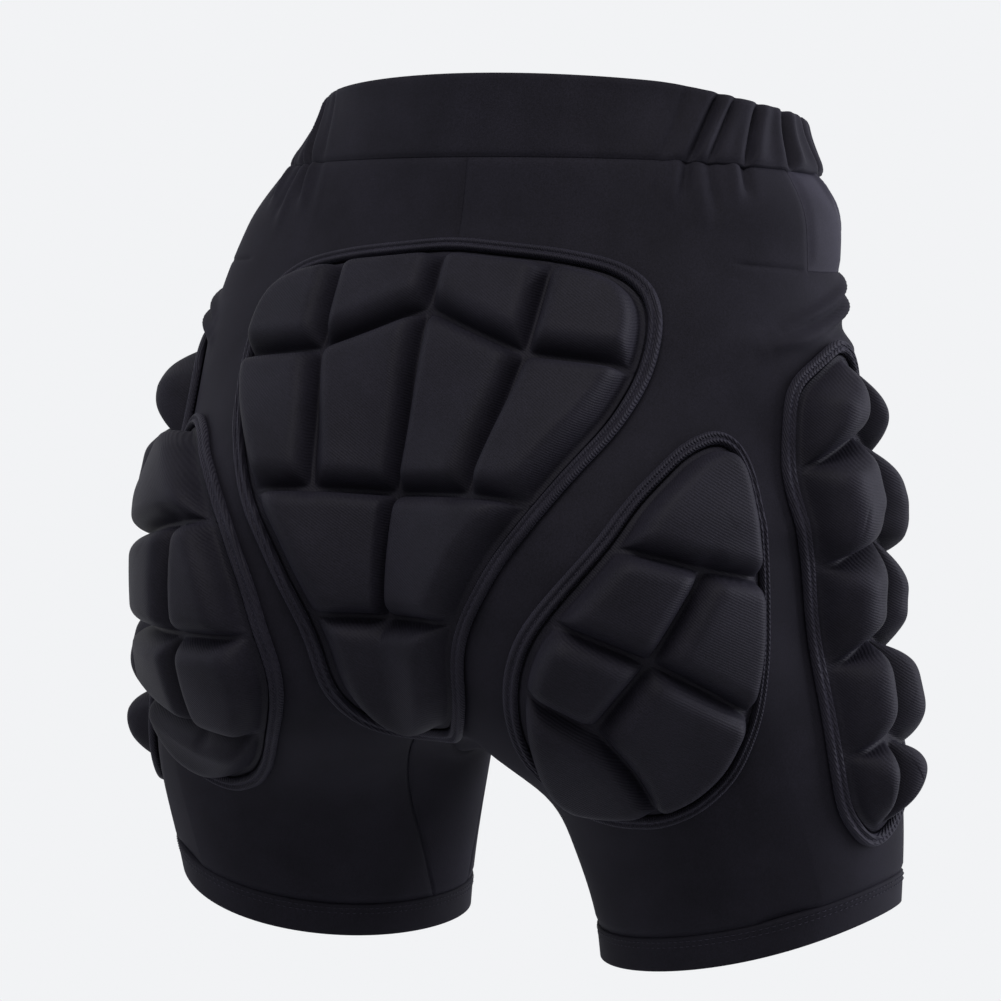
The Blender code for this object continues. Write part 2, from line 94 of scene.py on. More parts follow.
# Plan angles are in degrees: 0 is the side, 90 the rear and -90 the front.
FRONT_EDGE = -50.0              # front panel to side
YOKE_EDGE = 9.0                 # side yoke to rear yoke
INNER_HALF_ANGLE = 15.0         # half the inner thigh panel, about the leg
GUSSET_HALF = 0.022
MEAN_RADIUS = 0.145             # turns plan degrees into arc length on the torso
# Torso angles that the hem's even steps belong to. A known fault: the
# steps cross at 22 degrees and end at 77, so the outer panel's columns are uneven at the hem.
RING_ANGLES = [-90.0 + 10.0 * i for i in range(5)]
RING_ANGLES += [FRONT_EDGE + 12.0 * i for i in range(1, 7)]
RING_ANGLES += [YOKE_EDGE + 68.0 / 6 * i for i in range(1, 7)]

# Vertical axes that the side pads are wrapped about.
THIGH_AXIS = (0.085, 0.048)
THIGH_RADIUS = 0.105
HIP_AXIS = (0.110, 0.028)
HIP_RADIUS = 0.068


# ---- worn surface
def along(levels, values, z):
    """Smooth curve through values given at a few levels."""
    levels = np.asarray(levels, float)
    values = np.asarray(values, float)
    slopes = np.gradient(values, levels)
    slopes[0] = 0.0
    slopes[-1] = 0.0
    z = np.clip(z, levels[0], levels[-1])
    i = np.clip(np.searchsorted(levels, z) - 1, 0, len(levels) - 2)
    width = levels[i + 1] - levels[i]
    t = (z - levels[i]) / width
    rise = 3 * t**2 - 2 * t**3
    bend = slopes[i] * (t**3 - 2 * t**2 + t) + slopes[i + 1] * (t**3 - t**2)
    return values[i] * (1 - rise) + values[i + 1] * rise + width * bend


def soft_min(a, b):
    """The nearer of two surfaces, rounded where they meet."""
    h = np.maximum(BLEND - np.abs(a - b), 0.0) / BLEND
    return np.minimum(a, b) - h * h * BLEND * 0.25


def leg_volume(x, y, z):
    a = along(LEG_LEVELS, LEG_HALF_WIDTH, z)
    b = along(LEG_LEVELS, LEG_HALF_DEPTH, z)
    dx = (x - along(LEG_LEVELS, LEG_X, z)) / a
    dy = (y - along(LEG_LEVELS, LEG_Y, z)) / b
    over = np.maximum(z - LEG_LEVELS[-1] - 0.02, 0.0)
    return (np.sqrt(dx**2 + dy**2) - 1) * np.minimum(a, b) + 0.6 * over


def seat_volume(x, y, z):
    cx, cy, cz = SEAT_CENTRE
    return np.sqrt((x - cx)**2 + (y - cy)**2 + ((z - cz) / 1.15)**2) - SEAT_RADIUS


def body(points):
    """Negative inside the worn shape, zero on its surface."""
    x, y, z = points[:, 0], points[:, 1], points[:, 2]
    a = along(LEVELS, HALF_WIDTH, z)
    b = along(LEVELS, HALF_DEPTH, z)
    q = np.sqrt((x / a)**2 + ((y - along(LEVELS, CENTRE_Y, z)) / b)**2)
    below = np.maximum(CROTCH_LEVEL - z, 0.0)
    value = (q - 1) * np.minimum(a, b) + CROTCH_SLOPE * below
    for volume in (leg_volume, seat_volume):
        for side in (1, -1):
            value = soft_min(value, volume(x * side, y, z))
    return value


def outward_hits(starts, directions):
    """Where rays from inside the worn shape first leave it."""
    stride = 0.005
    reach = np.zeros(len(starts))
    going = np.ones(len(starts), bool)
    while going.any() and reach.max() < 0.25:
        some = np.flatnonzero(going)
        trial = starts[some] + directions[some] * (reach[some] + stride)[:, None]
        inside = body(trial) < 0
        reach[some[inside]] += stride
        going[some[~inside]] = False
    low, high = reach, reach + stride
    for _ in range(12):
        middle = (low + high) / 2
        inside = body(starts + directions * middle[:, None]) < 0
        low = np.where(inside, middle, low)
        high = np.where(inside, high, middle)
    return starts + directions * low[:, None]


def normals(points):
    """Outward direction of the worn surface at each point."""
    step = 0.002
    result = np.zeros_like(points)
    for axis in range(3):
        shift = np.zeros(3)
        shift[axis] = step
        result[:, axis] = body(points + shift) - body(points - shift)
    return result / np.linalg.norm(result, axis=1)[:, None]


def hits_about(x, y, turn, levels):
    """Points seen level from a vertical line of centres, at turns about it in radians."""
    starts = np.stack([x + levels * 0, y + levels * 0, levels], axis=1)
    directions = np.stack([np.cos(turn), np.sin(turn), turn * 0], axis=1)
    return outward_hits(starts, directions)


def plan_hits(angles, levels):
    """Points at plan angles about the body centre; 0 is the side, 90 the rear."""
    levels = np.asarray(levels, float)
    turn = np.radians(np.asarray(angles, float))
    return hits_about(0.0, along(LEVELS, CENTRE_Y, levels), turn, levels)


def leg_hits(angles, levels):
    """Points at plan angles about the leg centre."""
    x = along(LEG_LEVELS, LEG_X, levels)
    return hits_about(x, along(LEG_LEVELS, LEG_Y, levels), np.radians(angles), levels)


def crotch_points(shares, half_width):
    """Points of the crotch line: share 0 at the rear end, 1 at the front end."""
    turn = math.pi * np.asarray(shares, float)
    x = half_width * np.sin(turn)
    starts = np.stack([x, turn * 0 + CENTRE_Y[0], turn * 0 + LEG_LEVEL], axis=1)
    directions = np.stack([turn * 0, np.cos(turn), -np.sin(turn)], axis=1)
    return outward_hits(starts, directions)


def hem_levels(angles):
    """Level of the leg opening, which rises towards the outside of the thigh."""
    turn = np.radians(angles)
    rise = HEM_RISE * (np.cos(turn) + 1) / 2
    arch = HEM_ARCH * (np.cos(2 * turn) + 1) / 2
    return -HEIGHT + rise + arch - HEM_TILT * np.sin(turn)


def leg_strip(top, low_angles, shares, lift):
    """Rows from the leg seam (share 0) down to the hem (share 1)."""
    x = top[:, 0] - along(LEG_LEVELS, LEG_X, top[:, 2])
    y = top[:, 1] - along(LEG_LEVELS, LEG_Y, top[:, 2])
    start = np.degrees(np.arctan2(y, x))
    start = np.where((low_angles > 120) & (start < 0), start + 360, start)
    ends = hem_levels(low_angles) + lift
    rows = []
    for share in shares:
        if share == 0:
            rows.append(top)
            continue
        levels = top[:, 2] * (1 - share) + ends * share
        rows.append(leg_hits(start * (1 - share) + low_angles * share, levels))
    return np.array(rows)


def outer_hem_angles(angles):
    """Angle about the leg at the hem for each plan angle of the torso seam."""
    index = np.interp(angles, RING_ANGLES, range(len(RING_ANGLES)))
    span = 360.0 - 2 * INNER_HALF_ANGLE
    return -180.0 + INNER_HALF_ANGLE + span * index / (len(RING_ANGLES) - 1)


# ---- helpers
def flip(points, side):
    """The wearer's left as it is, the right mirrored."""
    return points * np.array([side, 1.0, 1.0])


def fine_steps(first, last, step, border=(0.0006, 0.0016, 0.0030)):
    """Even steps with a few close ones at both ends, as offsets along a line."""
    length = abs(last - first)
    count = max(2, int(round(length / step)))
    margin = 1.5 * border[-1]
    inside = [length * i / count for i in range(1, count)]
    inside = [value for value in inside if margin < value < length - margin]
    ends = list(border)
    values = [0.0] + ends + inside + [length - value for value in reversed(ends)] + [length]
    sign = 1 if last > first else -1
    return [first + sign * value for value in values]


def finer(values, low, high):
    """Adds a middle step wherever both neighbours lie between low and high."""
    result = []
    for first, second in zip(values[:-1], values[1:]):
        result.append(first)
        if low < min(first, second) and max(first, second) < high:
            result.append((first + second) / 2)
    return result + [values[-1]]


def smooth(x):
    """0 to 1 with level ends."""
    x = np.clip(x, 0.0, 1.0)
    return x * x * (3 - 2 * x)


def placed(name, data):
    """A new object in the scene."""
    item = bpy.data.objects.new(name, data)
    bpy.context.scene.collection.objects.link(item)
    return item


def new_object(name, vertices, faces, material, subdivide=0):
    """A smooth-shaded mesh, with a subdivision surface where one is asked for."""
    data = bpy.data.meshes.new(name)
    data.from_pydata([tuple(v) for v in vertices], [], faces)
    data.validate()
    data.polygons.foreach_set("use_smooth", [True] * len(data.polygons))
    item = placed(name, data)
    data.materials.append(material)
    if subdivide:
        modifier = item.modifiers.new("subdivide", "SUBSURF")
        modifier.levels = subdivide
        modifier.render_levels = subdivide
    return item


def grid_faces(rows, columns, closed=False):
    """Four-sided faces of a grid of points, row by row."""
    wrap = columns if closed else columns - 1
    faces = []
    for i in range(rows - 1):
        for j in range(wrap):
            k = (j + 1) % columns
            faces.append([i * columns + j, i * columns + k,
                          (i + 1) * columns + k, (i + 1) * columns + j])
    return faces


def knit_shell(name, grid, thickness, relief, material, side, closed=False, keep=None,
               seam=(0.0009, 0.0026)):
    """A sheet of knit with rolled edges: grid holds points of the worn surface."""
    rows, columns = grid.shape[:2]
    flat = grid.reshape(-1, 3)
    faces = grid_faces(rows, columns, closed)
    if keep is not None:
        faces = [face for face in faces if keep(*divmod(face[0], columns))]
    border = border_edges(faces)
    order = sorted({a for a, b in border})
    direction = normals(flat)
    height = np.broadcast_to(relief, (rows, columns)).reshape(-1)
    height = height - seam_valley(flat, order, *seam)
    outer = flat + direction * height[:, None]
    inner = flat + direction * (np.minimum(height, 0.0) - thickness)[:, None]
    bulge = (outer + inner)[order] / 2 + edge_outward(flat, faces, border, order) * 0.00015
    count = rows * columns
    place = {vertex: 2 * count + i for i, vertex in enumerate(order)}
    sides = faces + [[count + i for i in reversed(face)] for face in faces]
    for a, b in border:
        sides.append([place[a], place[b], b, a])
        sides.append([count + a, count + b, place[b], place[a]])
    if side < 0:
        sides = [face[::-1] for face in sides]
    points = flip(np.concatenate([outer, inner, bulge]), side)
    used = sorted({i for face in sides for i in face})
    renamed = {old: new for new, old in enumerate(used)}
    return new_object(name, points[used], [[renamed[i] for i in face] for face in sides],
                      material)


def border_edges(faces):
    """Edges that only one face uses, in that face's direction."""
    edges = {(a, b) for face in faces for a, b in zip(face, face[1:] + face[:1])}
    return sorted((a, b) for a, b in edges if (b, a) not in edges)


def edge_outward(flat, faces, border, order):
    """Direction that points off the sheet at each border point."""
    owner = {(a, b): face for face in faces for a, b in zip(face, face[1:] + face[:1])}
    push = {vertex: np.zeros(3) for vertex in order}
    for a, b in border:
        away = unit((flat[a] + flat[b]) / 2 - flat[owner[(a, b)]].mean(axis=0))
        push[a] += away
        push[b] += away
    return np.array([unit(push[vertex]) for vertex in order])


def seam_valley(flat, order, depth, width):
    """How far the sheet sinks towards its sewn edges."""
    tree = KDTree(len(order))
    for vertex in order:
        tree.insert(Vector(flat[vertex]), vertex)
    tree.balance()
    distance = np.array([tree.find(Vector(point))[2] for point in flat])
    return depth * (1 - smooth(distance / width))


def unit(vector):
    """The vector at length 1."""
    return vector / max(1e-12, float(np.linalg.norm(vector)))


def pull_in(grid):
    """Moves the border of a panel in from the seam line by the sewn gap."""
    grid = grid.copy()
    for view in (grid, grid.transpose(1, 0, 2)):
        for first, second in ((0, 1), (-1, -2)):
            edge = view[second] - view[first]
            view[first] += edge * (SEWN_GAP / np.linalg.norm(edge, axis=1))[:, None]
    return grid


# ---- materials
def node(tree, kind, **inputs):
    """A new shader node with its input values set."""
    made = tree.nodes.new(kind)
    for name, value in inputs.items():
        made.inputs[name.replace("_", " ")].default_value = value
    return made


def link(tree, source, output, target, entry):
    tree.links.new(source.outputs[output], target.inputs[entry])


def mapped(tree, scale):
    """Object coordinates, so many units to the metre."""
    where = node(tree, "ShaderNodeTexCoord")
    mapping = node(tree, "ShaderNodeMapping")
    mapping.inputs["Scale"].default_value = scale
    link(tree, where, "Object", mapping, "Vector")
    return mapping


def two_tone(tree, source, low, high):
    """Colours between two stops, each a position and a colour, driven by a texture."""
    ramp = node(tree, "ShaderNodeValToRGB")
    for element, (position, colour) in zip(ramp.color_ramp.elements, (low, high)):
        element.position = position
        element.color = (*colour, 1.0)
    link(tree, source, "Fac", ramp, "Fac")
    return ramp


def speckled(tree, cloud, fibre, colour):
    """Yarn colour in soft patches, with lighter and darker fibres."""
    patches = two_tone(tree, cloud, (0.32, [c * (1 - MOTTLE) for c in colour]),
                       (0.70, [c * (1 + MOTTLE) for c in colour]))
    speckle = two_tone(tree, fibre, (0.30, (0.45, 0.45, 0.45)), (0.72, (1.7, 1.7, 1.8)))
    mix = node(tree, "ShaderNodeMix")
    mix.data_type = "RGBA"
    mix.blend_type = "MULTIPLY"
    mix.inputs["Factor"].default_value = 0.55
    tree.links.new(patches.outputs["Color"], mix.inputs[6])
    tree.links.new(speckle.outputs["Color"], mix.inputs[7])
    return mix


def ribs_over(tree, bump, rib, rib_scale, rib_turn):
    """Raised ribs laid over the grain."""
    ribbed = mapped(tree, (rib_scale, rib_scale, rib_scale))
    ribbed.inputs["Rotation"].default_value = (0.0, rib_turn, 0.0)
    wave = node(tree, "ShaderNodeTexWave", Scale=1.0, Distortion=1.4, Detail=1.0)
    wave.bands_direction = "Z"
    link(tree, ribbed, "Vector", wave, "Vector")
    ribs = node(tree, "ShaderNodeBump", Strength=rib, Distance=0.0007)
    link(tree, wave, "Fac", ribs, "Height")
    link(tree, bump, "Normal", ribs, "Normal")
    return ribs


YARN = (0.0050, 0.0046, 0.0066)
MOTTLE = 0.16                   # how far the yarn colour varies, as a share
SHEEN_TINT = (0.62, 0.60, 0.85, 1.0)


def knit_material(name, shade, roughness, sheen, grain=0.12, rib=0.0, rib_scale=0, rib_turn=0.0):
    """Knit: mottled yarn colour, fine grain, and raised ribs where rib is above zero."""
    material = bpy.data.materials.new(name)
    material.use_nodes = True
    tree = material.node_tree
    shader = tree.nodes["Principled BSDF"]
    for socket, value in (("Roughness", roughness), ("Sheen Weight", sheen),
                          ("Sheen Roughness", 0.45), ("Sheen Tint", SHEEN_TINT),
                          ("Specular IOR Level", 0.05)):
        shader.inputs[socket].default_value = value
    plain = mapped(tree, (1, 1, 1))
    cloud = node(tree, "ShaderNodeTexNoise", Scale=38.0, Detail=3.0)
    fibre = node(tree, "ShaderNodeTexNoise", Scale=1400.0, Detail=2.0, Roughness=0.7)
    for texture in (cloud, fibre):
        link(tree, plain, "Vector", texture, "Vector")
    mix = speckled(tree, cloud, fibre, [c * shade for c in YARN])
    tree.links.new(mix.outputs[2], shader.inputs["Base Color"])
    bump = node(tree, "ShaderNodeBump", Strength=grain, Distance=0.0005)
    link(tree, fibre, "Fac", bump, "Height")
    if rib > 0:
        bump = ribs_over(tree, bump, rib, rib_scale, rib_turn)
    link(tree, bump, "Normal", shader, "Normal")
    return material


MAT_KNIT = knit_material("main_knit_look", 1.0, 0.78, 0.012)
MAT_BAND = knit_material("waistband_knit_look", 1.0, 0.76, 0.012, grain=0.16)
# Side yokes: yarn colour painted half again lighter than the main knit. This is painted light,
# standing in for the rim light on the flank.
MAT_SIDE_PAINTED_LIGHT = knit_material("side_yoke_knit_painted_light_look", 1.5, 0.68, 0.04)
MAT_INNER = knit_material("inner_thigh_knit_look", 1.05, 0.85, 0.02, grain=0.3)
MAT_ELASTIC = knit_material("elastic_tape_look", 1.5, 0.65, 0.02,
                            rib=0.8, rib_scale=200, rib_turn=math.pi / 2)
MAT_COVER = knit_material("pad_cover_look", 1.1, 0.60, 0.012, rib=0.2, rib_scale=290, rib_turn=0.6)
MAT_BINDING = knit_material("pad_binding_look", 1.5, 0.6, 0.03, rib=0.5, rib_scale=300, rib_turn=1.1)
MAT_THREAD = knit_material("thread_look", 2.2, 0.55, 0.03)


# ---- knit panels
def plan_angle(grid):
    """Degrees about the body centre: 0 is the side, 90 the rear."""
    return np.degrees(np.arctan2(grid[..., 1] - along(LEVELS, CENTRE_Y, grid[..., 2]), grid[..., 0]))


def ridge(grid, start, end, width, height):
    """A fold that rises along a line between two (plan angle, level) points."""
    arc = math.radians(MEAN_RADIUS)
    place = np.stack([plan_angle(grid) * arc, grid[..., 2]], axis=-1)
    first = np.array([start[0] * arc, start[1]])
    axis = np.array([end[0] * arc, end[1]]) - first
    t = (place - first) @ axis / (axis @ axis)
    near = first + np.clip(t, 0, 1)[..., None] * axis
    distance = np.linalg.norm(place - near, axis=-1)
    fade = np.sin(math.pi * np.clip(t, 0.02, 0.98)) ** 0.6
    return height * fade * np.exp(-(distance / width)**2)


def torso_rows(angles, levels):
    """Rows of points of the worn surface at plan angles and levels."""
    count = len(angles)
    flat = plan_hits(list(angles) * len(levels), np.repeat(levels, count))
    return flat.reshape(len(levels), count, 3)


def down_to_hem(angles, first_level):
    """Points from a torso level down over the leg seam to the hem band."""
    levels = finer(fine_steps(first_level, LEG_LEVEL, 0.0035)[:-3], -0.132, YOKE_LEVEL - 0.002)
    torso = torso_rows(angles, levels)
    top = plan_hits(angles, [LEG_LEVEL] * len(angles))
    shares = [i / 24 for i in range(25)]
    leg = leg_strip(top, outer_hem_angles(np.array(angles)), shares, HEM_BAND)
    return np.concatenate([torso, leg])


def cross_leg(piece):
    """Bakes the piece's placement into its mesh."""
    crotch = float(crotch_points([0.5], 0.0)[0][2])
    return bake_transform(piece)


def waist_folds(grid):
    """Small puckers under the gathers of the band."""
    relief = np.zeros(grid.shape[:2])
    for index, (_, at_seam, depth, _) in enumerate(GATHERS):
        if abs(at_seam - YOKE_EDGE) < 3.0:
            continue
        lean = 1.5 * math.sin(index * 2.3)
        drop = 0.012 + 0.014 * abs(math.sin(index * 1.7 + 1.0))
        start = (at_seam, -BAND_HEIGHT + 0.004)
        relief -= ridge(grid, start, (at_seam + lean, -BAND_HEIGHT - drop), 0.0022, 0.6 * depth)
        beside = (at_seam + 2.4, -BAND_HEIGHT + 0.004)
        relief += ridge(grid, beside, (beside[0] + lean, -BAND_HEIGHT - drop * 1.3), 0.0030,
                        0.45 * depth)
    return relief


def build_side_yoke(side, word):
    levels = fine_steps(-BAND_HEIGHT, YOKE_LEVEL, 0.003)
    angles = fine_steps(FRONT_EDGE, YOKE_EDGE, 1.1, (0.22, 0.6, 1.1))
    angles = finer(angles, FRONT_EDGE + 1, YOKE_EDGE - 1)
    grid = pull_in(torso_rows(angles, levels))
    relief = waist_folds(grid) - side_sink(grid, side)
    # The side yoke's knit is painted lighter, as painted light from the flank.
    piece = knit_shell("side_yoke_knit_" + word, grid, CLOTH, relief, MAT_SIDE_PAINTED_LIGHT, side,
                       seam=(0.0009, 0.0070))
    ride_pelvis(piece)
    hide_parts("side_yoke_" + word)


def ride_pelvis(piece):
    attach(piece, "pelvis")


HIP_DRAW_IN = 0.0065            # deepest point of the knit above the wearer's right hip pad
YOKE_LINE_DEPTH = 0.0010
YOKE_LINE_SPAN = 15.0           # plan degrees that the sewn line runs on behind the side yoke


def side_sink(grid, side):
    """On the wearer's right the knit is drawn in above the hip pad."""
    around = smooth((34.0 - np.abs(plan_angle(grid) + 4.0)) / 26.0)
    level = grid[..., 2]
    down = smooth((-0.052 - level) / 0.040) * smooth((level + 0.1265) / 0.012)
    return HIP_DRAW_IN * around * down * (side < 0)


def hip_folds(grid, side):
    """Pulled folds above the hip pad, and the sewn line that carries the yoke seam on."""
    relief = ridge(grid, (-9, -0.099), (18, -0.129), 0.0034, 0.0062)
    relief += ridge(grid, (-9, -0.089), (16, -0.119), 0.0032, 0.0046)
    relief -= ridge(grid, (-9, -0.094), (17, -0.124), 0.0028, 0.0012)
    relief += ridge(grid, (-25, -0.10), (-36, -0.16), 0.0080, 0.0015)
    turn = plan_angle(grid)
    near = np.exp(-((grid[..., 2] - YOKE_LEVEL) / 0.0010)**2)
    near *= smooth((turn - YOKE_EDGE) / 2.0) * smooth((YOKE_EDGE + YOKE_LINE_SPAN - turn) / 3.0)
    relief -= YOKE_LINE_DEPTH * near
    return relief - side_sink(grid, side)


def build_outer_panel(side, word):
    """Seat and outer leg in one cut; behind the side yoke it runs up to the waistband."""
    first = finer(fine_steps(FRONT_EDGE, YOKE_EDGE, 1.35, (0.22, 0.6, 1.1)), -14, YOKE_EDGE - 1)
    rear = finer(fine_steps(YOKE_EDGE, 90.0, 1.35, (0.22, 0.6, 1.1)), YOKE_EDGE + 1, 42)
    angles = first + rear[1:]
    above = torso_rows(angles, fine_steps(-BAND_HEIGHT, YOKE_LEVEL, 0.003))[:-1]
    grid = pull_in(np.concatenate([above, down_to_hem(angles, YOKE_LEVEL)]))
    corner = (len(above), len(first) - 1)
    relief = hip_folds(grid, side) + waist_folds(grid)
    piece = knit_shell("seat_and_thigh_" + word, grid, CLOTH, relief, MAT_KNIT, side,
                       keep=lambda row, column: row >= corner[0] or column >= corner[1])
    cross_leg(piece)
    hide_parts("rear_yoke_" + word, "seat_panel_" + word, "leg_panel_" + word)


def build_front_panel(side, word):
    angles = fine_steps(-90.0, FRONT_EDGE, 1.35, (0.22, 0.6, 1.1))
    grid = pull_in(down_to_hem(angles, -BAND_HEIGHT))
    piece = knit_shell("front_knit_" + word, grid, CLOTH, 0.0, MAT_KNIT, side)
    cross_leg(piece)
    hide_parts("front_panel_" + word)


def build_inner_panel(side, word):
    shares = fine_steps(0.0, 1.0, 0.02, (0.003, 0.008, 0.014))
    top = crotch_points(shares, GUSSET_HALF)
    low = 180.0 - INNER_HALF_ANGLE + 2 * INNER_HALF_ANGLE * np.array(shares)
    rows = leg_strip(top, low, [i / 30 for i in range(31)], HEM_BAND)
    grid = pull_in(rows)
    piece = knit_shell("inner_thigh_knit_" + word, grid, CLOTH, 0.0, MAT_INNER, side)
    cross_leg(piece)
    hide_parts("inner_thigh_panel_" + word)


def build_gusset():
    shares = fine_steps(0.015, 0.985, 0.02, (0.003, 0.008, 0.014))
    columns = []
    for across in fine_steps(-1.0, 1.0, 0.15, (0.02, 0.05, 0.10)):
        points = crotch_points(shares, GUSSET_HALF * abs(across))
        points[:, 0] *= 1.0 if across > 0 else -1.0
        columns.append(points)
    grid = pull_in(np.array(columns).transpose(1, 0, 2))
    piece = knit_shell("crotch_gusset_knit", grid, CLOTH, 0.0, MAT_INNER, 1)
    ride_pelvis(piece)
    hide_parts("crotch_gusset")


# ---- waistband and hems
def rim_level(angle):
    return -BAND_DIP * (1 - math.sin(math.radians(angle))) / 2


def band_gathers(angles, shares):
    """Narrow valleys that radiate down the band where the elastic draws it together."""
    relief = np.zeros((len(shares), len(angles)))
    for at_rim, at_seam, depth, width in GATHERS:
        for mirror in (False, True):
            for row, share in enumerate(shares):
                middle = at_seam + (at_rim - at_seam) * share
                middle = 180.0 - middle if mirror else middle
                gap = (angles - middle + 180.0) % 360.0 - 180.0
                fade = smooth((1.08 - share) / 0.25) * smooth((share + 0.10) / 0.30)
                relief[row] -= depth * fade * np.exp(-(np.abs(gap) / width)**1.6)
                shift = np.abs(gap) - 1.5 * width - 1.0
                relief[row] += 0.35 * depth * fade * np.exp(-(shift / 1.6)**2)
    return relief


# Plan angle of each gather at the rim and at the seam, its depth and its width in degrees.
GATHERS = [(31, 37, 0.0010, 1.0), (23, 31, 0.0046, 0.8), (19, 27, 0.0034, 0.7),
           (13, 19, 0.0050, 0.8), (4.5, 8, 0.0060, 1.2), (-5, -4, 0.0038, 0.9),
           (-13, -14, 0.0050, 1.1), (-22, -24, 0.0034, 0.8), (-30, -33, 0.0044, 1.0),
           (-41, -41, 0.0020, 1.0)]
# On the wearer's right the band stands off and its rim hangs lower; at its seam it tucks in.
BAND_SLACK = 0.0075
RIM_DROP = 0.0055
SEAM_TUCK = 0.0012
RIM_ROLL = 0.0007


def slack(angles):
    """1 at the wearer's right hip, 0 from the rear and the front on."""
    turn = (angles - 184.0 + 180.0) % 360.0 - 180.0
    return smooth((44.0 - np.abs(turn)) / 34.0)


def build_waistband():
    angles = np.array([-180.0 + 0.4 * i for i in range(900)])
    shares = [0.0, 0.015, 0.04, 0.08] + [0.08 + 0.84 * i / 14 for i in range(1, 14)]
    shares += [0.92, 0.96, 0.985, 1.0]
    loose = slack(angles)
    rows = []
    for share in shares:
        rim = np.array([rim_level(a) for a in angles]) - RIM_DROP * loose
        levels = -BAND_HEIGHT + (rim + BAND_HEIGHT) * share
        points = plan_hits(angles, levels)
        stand_off = BAND_SLACK * loose * (0.55 + 0.65 * share)
        rows.append(points + normals(points) * [1, 1, 0] * stand_off[:, None])
    grid = np.array(rows)
    relief = band_gathers(angles, shares)
    edge = np.array(shares)[:, None]
    relief = relief - SEAM_TUCK * (1 - smooth(edge / 0.06)) - RIM_ROLL * smooth((edge - 0.95) / 0.05)
    piece = knit_shell("waistband", grid, BAND_CLOTH, relief, MAT_BAND, 1, closed=True,
                       seam=(0.0, 0.001))
    ride_pelvis(piece)
    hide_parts("waistband_rear", "waistband_front",
                "waistband_side_left", "waistband_side_right")
    for side, word in ((1, "left"), (-1, "right")):
        build_elastic(grid, np.minimum(relief, 0.0), angles, shares, side, word)


def build_elastic(grid, sunk, angles, shares, side, word):
    """Ribbed elastic sewn to the inside of the band over each hip, gathered with it."""
    turn = angles if side > 0 else 180.0 - angles
    turn = (turn + 180.0) % 360.0 - 180.0
    columns = [i for i in np.argsort(turn) if FRONT_EDGE + 2.5 < turn[i] < YOKE_EDGE - 2.5][::2]
    rows = [row for row, share in enumerate(shares) if 0.12 < share < 0.88]
    tape = grid[rows][:, columns]
    relief = sunk[rows][:, columns] - BAND_CLOTH - 0.0006
    piece = knit_shell("elastic_tape_" + word, tape, 0.0014, relief, MAT_ELASTIC, 1, seam=(0.0, 0.001))
    face_out(piece)
    ride_pelvis(piece)
    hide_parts("side_elastic_" + word)


HEM_STITCHES = (0.0115, 0.0140)   # two rows of thread above the hem edge


def build_hem(side, word):
    angles = np.array([360.0 * i / 150 for i in range(150)])
    top = leg_hits(angles, hem_levels(angles) + HEM_BAND)
    low = leg_hits(angles, hem_levels(angles))
    rows = [top + (low - top) * share for share in
            [0.003, 0.03, 0.1, 0.25, 0.4, 0.55, 0.7, 0.85, 0.94, 1.0]]
    grid = np.array(rows)
    share = np.linspace(0, 1, len(rows))[:, None] + angles * 0
    relief = 0.0001 - 0.0004 * (1 - smooth(share / 0.10))
    piece = knit_shell("hem_band_" + word, grid, HEM_CLOTH, relief, MAT_BAND, side, closed=True,
                       seam=(0.0, 0.001))
    cross_leg(piece)
    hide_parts("hem_" + word)
    sewn = [leg_hits(angles, hem_levels(angles) + level) for level in HEM_STITCHES]
    lines = [(np.concatenate([line, line[:1]]), 0.0001) for line in sewn]
    thread = build_stitches("hem_stitching_" + word, lines, side, 0.0032, 0.0022, 0.00022)
    cross_leg(thread)


# ---- pad charts and layouts
def tail_chart(flat):
    """Seen from behind: across and up."""
    starts = np.stack([flat[:, 0], flat[:, 0] * 0 + 0.085, flat[:, 1]], axis=1)
    directions = np.zeros_like(starts)
    directions[:, 1] = 1.0
    return outward_hits(starts, directions)


def wrapped_chart(axis, radius, flat):
    """Wrapped about a vertical axis: arc length (0 faces outward) and up."""
    return hits_about(axis[0], axis[1], flat[:, 0] / radius, flat[:, 1])


def thigh_chart(flat):
    return wrapped_chart(THIGH_AXIS, THIGH_RADIUS, flat)


def hip_chart(flat):
    return wrapped_chart(HIP_AXIS, HIP_RADIUS, flat)


# Cell corners of each pad: across, in mm or in plan degrees, and level, in mm above the lowest hem.
def tail_layout():
    """Half of the shield is laid out and mirrored."""
    top = {"a": (0, 344), "b": (53, 339), "c": (80, 334), "d": (95, 325), "e": (101, 311),
           "f": (101, 288), "g": (94, 264), "h": (72, 227), "i": (56, 204),
           "j": (39, 174), "k": (34, 159), "l": (32, 138), "m": (22, 123), "n": (0, 120),
           "p": (0, 313), "q": (52, 293), "r": (42, 229), "s": (0, 229), "t": (0, 175)}
    half = ["abqp", "bcdefq", "pqrs", "qfghr", "srhijt"]
    cells = []
    for mirror in (1, -1):
        for word in half:
            cells.append([(top[k][0] * mirror, top[k][1]) for k in word])
    tail = [top[k] for k in "tjklmn"]
    tail += [(-u, v) for u, v in reversed(tail) if u > 0]
    return cells + [tail]


def thigh_layout(side):
    """Teardrop, set out in plan angles about the thigh from the side toward the rear."""
    words, p = thigh_left() if side > 0 else thigh_right()
    arc = math.radians(THIGH_RADIUS * 1000)
    return [[(p[k][0] * arc, p[k][1]) for k in word] for word in words]


def thigh_right():
    """The right pad is divided by slanting grooves that meet inside it."""
    words = ["abcdevstu", "vwrs", "efgwv", "wxoqr", "ghijxw", "jklmnox"]
    places = {"a": (50, 258), "b": (44.5, 255.5), "c": (41, 246), "d": (40, 222),
              "e": (38.5, 197), "f": (37, 165), "g": (38, 135), "h": (42.5, 109),
              "i": (51, 94.5), "j": (62.5, 87.5), "k": (80, 87), "l": (96, 90.5),
              "m": (102, 103), "n": (100, 127), "o": (97.7, 148), "q": (94.3, 166),
              "r": (90.5, 178), "s": (78.6, 210), "t": (72, 231), "u": (61, 250.5),
              "v": (57.5, 201.4), "w": (69.8, 161.4), "x": (82.6, 131.8)}
    return words, places


